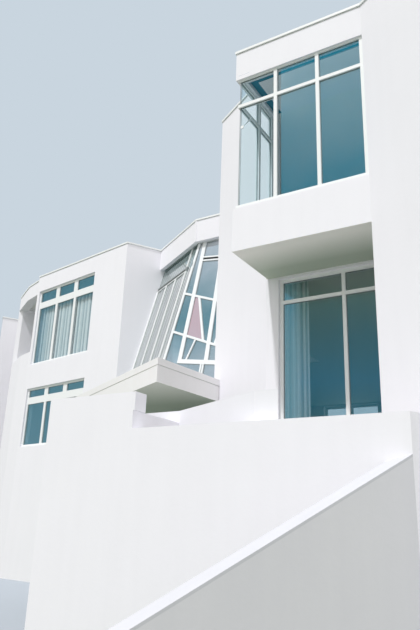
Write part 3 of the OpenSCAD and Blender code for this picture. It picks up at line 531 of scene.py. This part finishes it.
def voile():
    """A thin cloth that some light passes through, painted greyer deep in its folds:
    painted shade.
    """
    material = empty_material("white_voile")
    weave = add(material, "ShaderNodeUVMap", uv_map="cloth").outputs["UV"]
    threads = add(material, "ShaderNodeMapping",
                  {"Vector": weave, "Scale": (140.0, 6.0, 1.0)})
    slubs = add(material, "ShaderNodeTexNoise",
                {"Vector": threads.outputs["Vector"], "Scale": 1.0, "Detail": 3.0})
    colour = add(material, "ShaderNodeMix",
                 {"Factor": slubs.outputs["Fac"], "A": linear("#ffffff"),
                  "B": linear("#f4f6f8")}, data_type="RGBA")
    # Deep in each fold the cloth is painted a greyer white: painted shade.
    painted_fold_shade = add(material, "ShaderNodeAttribute", attribute_name="painted_fold_shade")
    colour = add(material, "ShaderNodeMix",
                 {"Factor": painted_fold_shade.outputs["Fac"], "A": colour.outputs["Result"],
                  "B": linear("#c3ced4")}, data_type="RGBA")
    relief = add(material, "ShaderNodeBump",
                 {"Height": slubs.outputs["Fac"], "Strength": 0.2, "Distance": 0.001})
    front = add(material, "ShaderNodeBsdfPrincipled",
                {"Base Color": colour.outputs["Result"], "Roughness": 0.9,
                 "Sheen Weight": 0.3, "Specular IOR Level": 0.1,
                 "Normal": relief.outputs["Normal"]})
    back = add(material, "ShaderNodeBsdfTranslucent",
               {"Color": colour.outputs["Result"]})
    both = add(material, "ShaderNodeMixShader",
               {0: 0.2, 1: front.outputs["BSDF"], 2: back.outputs["BSDF"]})
    add(material, "ShaderNodeOutputMaterial", {"Surface": both.outputs["Shader"]})
    return material


white_voile = voile()
curtain_depth = 0.074
curtain_folds = 6
columns_in_a_fold = 14
curtain_rows = 48
cloth_steps = 18


def hang(name, start, turn, width, drop):
    """A curtain from the point start, at the middle of its depth, along the
    direction turn. Its folds fill the depth, and its top row is held. It returns
    the curtain and the width that its cloth was cut to."""
    folds = curtain_folds
    depth = curtain_depth
    mesh = bmesh.new()
    cloth_uv = mesh.loops.layers.uv.new("cloth")
    painted_fold_shade = mesh.verts.layers.float.new("painted_fold_shade")
    bmesh.ops.create_grid(mesh, x_segments=folds * columns_in_a_fold,
                          y_segments=curtain_rows, size=0.5)
    for face in mesh.faces:
        for loop in face.loops:
            loop[cloth_uv].uv = (loop.vert.co.x + 0.5, loop.vert.co.y + 0.5)
    for vert in mesh.verts:
        along = vert.co.x + 0.5
        down = 0.5 - vert.co.y
        wander = 0.22 * math.sin(5.1 * along + 0.7) + 0.13 * math.sin(13 * along)
        fold = math.sin(2 * math.pi * folds * (along + wander / folds))
        swell = 0.72 + 0.28 * math.sin(2.9 * along * folds + 1.2)
        # How deep in its fold each point lies, for the painted shade.
        vert[painted_fold_shade] = 0.5 + 0.5 * fold
        vert.co = ((along + 0.1 / folds * math.sin(4 * math.pi * folds * along)) * width,
                   depth * (0.32 + 0.1 * down) * swell * fold, -down * drop)
    top = [v.index for v in mesh.verts if v.co.z > -1e-6]
    mesh.verts.ensure_lookup_table()
    row = sorted((mesh.verts[i].co.x, mesh.verts[i].co.y) for i in top)
    cut = sum(math.dist(a, b) for a, b in zip(row, row[1:]))
    curtain = new_piece(name, mesh)
    held = curtain.vertex_groups.new(name="held")
    held.add(top, 1, "REPLACE")
    cloth = curtain.modifiers.new("cloth", "CLOTH")
    cloth.settings.quality = 6
    cloth.settings.mass = 0.1
    cloth.settings.tension_stiffness = 30
    cloth.settings.compression_stiffness = 30
    cloth.settings.bending_stiffness = 0.4
    cloth.settings.vertex_group_mass = "held"
    cloth.point_cache.frame_start = 1
    cloth.point_cache.frame_end = cloth_steps
    for step in range(1, cloth_steps + 1):
        bpy.context.scene.frame_set(step)
    hung = curtain.evaluated_get(bpy.context.evaluated_depsgraph_get())
    settled = bpy.data.meshes.new_from_object(hung)
    bpy.context.scene.frame_set(1)
    curtain.modifiers.remove(cloth)
    curtain.data = settled
    for vert in curtain.data.vertices:
        vert.co.y = max(-depth / 2, min(depth / 2, vert.co.y))
    curtain.data.transform(Matrix.Translation(start) @ Matrix.Rotation(turn, 4, "Z"))
    for polygon in curtain.data.polygons:
        polygon.use_smooth = True
    curtain.data.materials.append(white_voile)
    curtain.vertex_groups.clear()
    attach(curtain, "root")
    return curtain, cut


wing_low, wing_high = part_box("wing_curtains")
wing_corner = Vector((-4.9048, 2.3293, wing_high[2]))
wing_turn = math.radians(-10.2)
wing_along = Vector((0.9842, -0.1771, 0))
wing_inward = Vector((0.1771, 0.9842, 0))
track_inward = 0.17
behind_panes = [(0.28, 1.13), (1.17, 2.12), (2.16, 3.13)]
drop = wing_high[2] - wing_low[2]
for number, (first, last) in enumerate(behind_panes):
    start = wing_corner + wing_along * first + wing_inward * track_inward
    curtain, cut = hang(f"wing_curtain_{number}", start, wing_turn, last - first, drop)
    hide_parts("wing_curtains")

recess_low, recess_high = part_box("recess_curtain")
start = Vector((recess_low[0], (recess_low[1] + recess_high[1]) / 2, recess_high[2]))
drop = recess_high[2] - recess_low[2]
curtain, cut = hang("recess_curtain_cloth", start, 0, recess_high[0] - recess_low[0],
                    drop)
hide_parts("recess_curtain")


# ---------------------------------------------------------------- stage and light
# A plain pale floor under a pale dome. A lamp high in front gives soft shadows,
# and a weak, wide one from the right fills them.
floor_mesh = bmesh.new()
bmesh.ops.create_grid(floor_mesh, size=120)
floor = new_piece("floor", floor_mesh)


def shown_ray(material):
    """1 for a ray that shows the stage itself: straight, mirrored or through
    glass. 0 for a ray that only lights the house."""
    rays = add(material, "ShaderNodeLightPath").outputs
    seen = add(material, "ShaderNodeMath",
               {0: rays["Is Camera Ray"], 1: rays["Is Glossy Ray"]},
               operation="MAXIMUM")
    return add(material, "ShaderNodeMath",
               {0: seen.outputs["Value"], 1: rays["Is Transmission Ray"]},
               operation="MAXIMUM").outputs["Value"]


# The floor shows pale, but throws back only a dull, greenish light.
pale_floor = empty_material("pale_floor")
paint = add(pale_floor, "ShaderNodeMix",
            {"Factor": shown_ray(pale_floor), "A": linear("#7d8577"),
             "B": linear("#adb4bc")}, data_type="RGBA")
ground = add(pale_floor, "ShaderNodeBsdfDiffuse", {"Color": paint.outputs["Result"]})
add(pale_floor, "ShaderNodeOutputMaterial", {"Surface": ground.outputs["BSDF"]})
floor.data.materials.append(pale_floor)

dome = bpy.data.worlds.new("pale_dome")
dome.use_nodes = True
dome.node_tree.nodes.clear()
light = add(dome, "ShaderNodeBackground", {"Color": linear("#f9f8f7"), "Strength": 0.84})
backdrop = add(dome, "ShaderNodeBackground", {"Color": linear("#c9d5df")})
both = add(dome, "ShaderNodeMixShader",
           {0: shown_ray(dome), 1: light.outputs["Background"],
            2: backdrop.outputs["Background"]})
add(dome, "ShaderNodeOutputWorld", {"Surface": both.outputs["Shader"]})
bpy.context.scene.world = dome

lamp = bpy.data.lights.new("soft_sun", "SUN")
lamp.energy = 2.33
lamp.angle = math.radians(2.5)
sun = bpy.data.objects.new("soft_sun", lamp)
sun.rotation_euler = Vector((0.084, 0.497, -0.863)).to_track_quat("-Z", "Y").to_euler()
bpy.context.collection.objects.link(sun)

fill = bpy.data.lights.new("soft_fill", "SUN")
fill.energy = 0.4
fill.angle = math.radians(90)
side = bpy.data.objects.new("soft_fill", fill)
side.rotation_euler = Vector((-0.9, 0.25, -0.35)).to_track_quat("-Z", "Y").to_euler()
bpy.context.collection.objects.link(side)

bpy.context.scene.view_settings.view_transform = "Standard"
